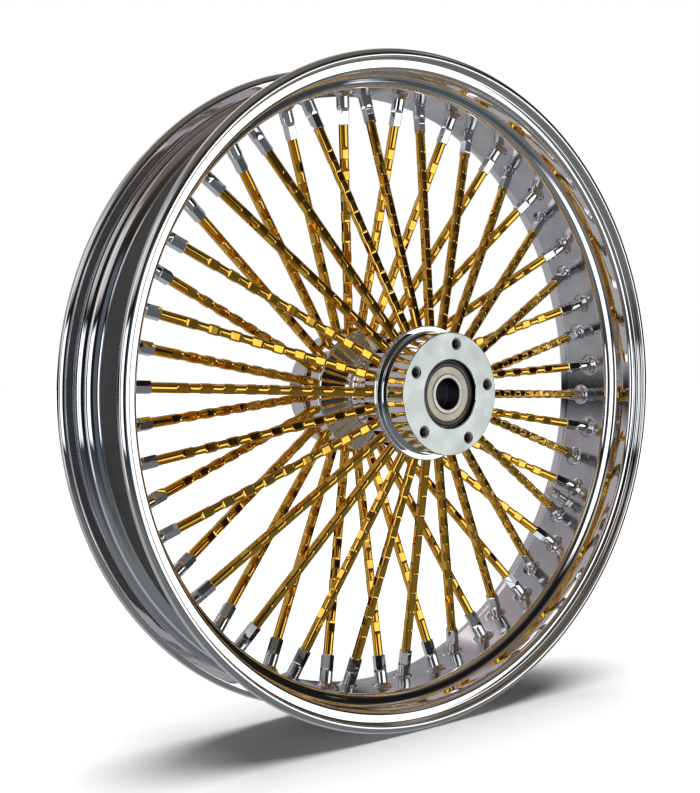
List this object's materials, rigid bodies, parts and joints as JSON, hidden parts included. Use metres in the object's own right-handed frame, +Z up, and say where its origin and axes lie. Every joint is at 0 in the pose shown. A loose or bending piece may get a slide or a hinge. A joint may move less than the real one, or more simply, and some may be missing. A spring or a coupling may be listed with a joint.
{
  "type": "spoked motorcycle wheel",
  "caption": "Laced motorcycle wheel: chrome drop-centre rim, gold facet-cut spokes with hex nipples, billet hub with sealed bearings and threaded rotor faces.",
  "frame": {"origin": "centre of the wheel, on the axle's axis, midway between the two rotor faces", "axes": "+Y along the axle towards the wheel's left side, +Z up, +X forward; the wheel's right side faces -Y"},
  "size_m": [0.563, 0.159, 0.563],
  "materials": {
    "chrome_rim": "mirror chrome plate on rolled steel",
    "rubber_band": "matt black rubber",
    "hub_chrome": "mirror chrome plate on turned aluminium",
    "hub_face": "chrome plate, satin on the rotor face",
    "gold_spokes": "gold plate, cut with staggered facets",
    "chrome_nipples": "mirror chrome plate",
    "bearing_steel": "ground bearing steel",
    "cage_steel": "pressed steel",
    "bearing_seal": "pale moulded seal",
    "spacer_aluminium": "turned tube",
    "valve_metal": "nickel plate",
    "valve_brass": "turned brass"
  },
  "bodies": {
    "axle_side": {"bearing_inner_ring_right": "bearing_steel", "bearing_inner_ring_left": "bearing_steel", "bearing_spacer": "spacer_aluminium"},
    "wheel": {"rim": "chrome_rim", "rim_band": "rubber_band", "hub_core": "hub_chrome", "hub_cap_right": "hub_face", "hub_cap_left": "hub_face", "spokes_right": "gold_spokes", "spokes_left": "gold_spokes", "nipples_right": "chrome_nipples", "nipples_left": "chrome_nipples", "bearing_outer_ring_right": "bearing_steel", "bearing_seal_outer_right": "bearing_seal", "bearing_seal_inner_right": "bearing_seal", "bearing_outer_ring_left": "bearing_steel", "bearing_seal_outer_left": "bearing_seal", "bearing_seal_inner_left": "bearing_seal", "valve_grommet": "rubber_band", "valve_stem": "valve_metal", "valve_nut": "valve_metal", "valve_core": "valve_brass"},
    "cage_right": {"bearing_cage_right": "cage_steel", "bearing_balls_right": "bearing_steel"},
    "cage_left": {"bearing_cage_left": "cage_steel", "bearing_balls_left": "bearing_steel"},
    "valve_cap": {"valve_cap": "valve_metal"},
    "valve_pin": {"valve_pin": "valve_brass"}
  },
  "joints": [
    {"name": "wheel_spin", "type": "hinge", "parent": "axle_side", "child": "wheel", "pos_m": [0, 0, 0], "axis": [0, 1, 0], "continuous": true},
    {"name": "cage_spin_right", "type": "hinge", "parent": "axle_side", "child": "cage_right", "pos_m": [0, -0.0685, 0], "axis": [0, 1, 0], "continuous": true},
    {"name": "cage_spin_left", "type": "hinge", "parent": "axle_side", "child": "cage_left", "pos_m": [0, 0.0685, 0], "axis": [0, 1, 0], "continuous": true},
    {"name": "valve_cap_unscrew", "type": "slide", "parent": "wheel", "child": "valve_cap", "axis": [-0.8961, 0, 0.4439], "range_m": [0, 0.014]},
    {"name": "valve_pin_press", "type": "slide", "parent": "wheel", "child": "valve_pin", "axis": [0.8961, 0, -0.4439], "range_m": [0, 0.0012], "stiffness_N_per_m": 600}
  ],
  "couplings": [
    {"joint": "cage_spin_right", "follows": "wheel_spin", "ratio": 0.6028},
    {"joint": "cage_spin_left", "follows": "wheel_spin", "ratio": 0.6028}
  ]
}
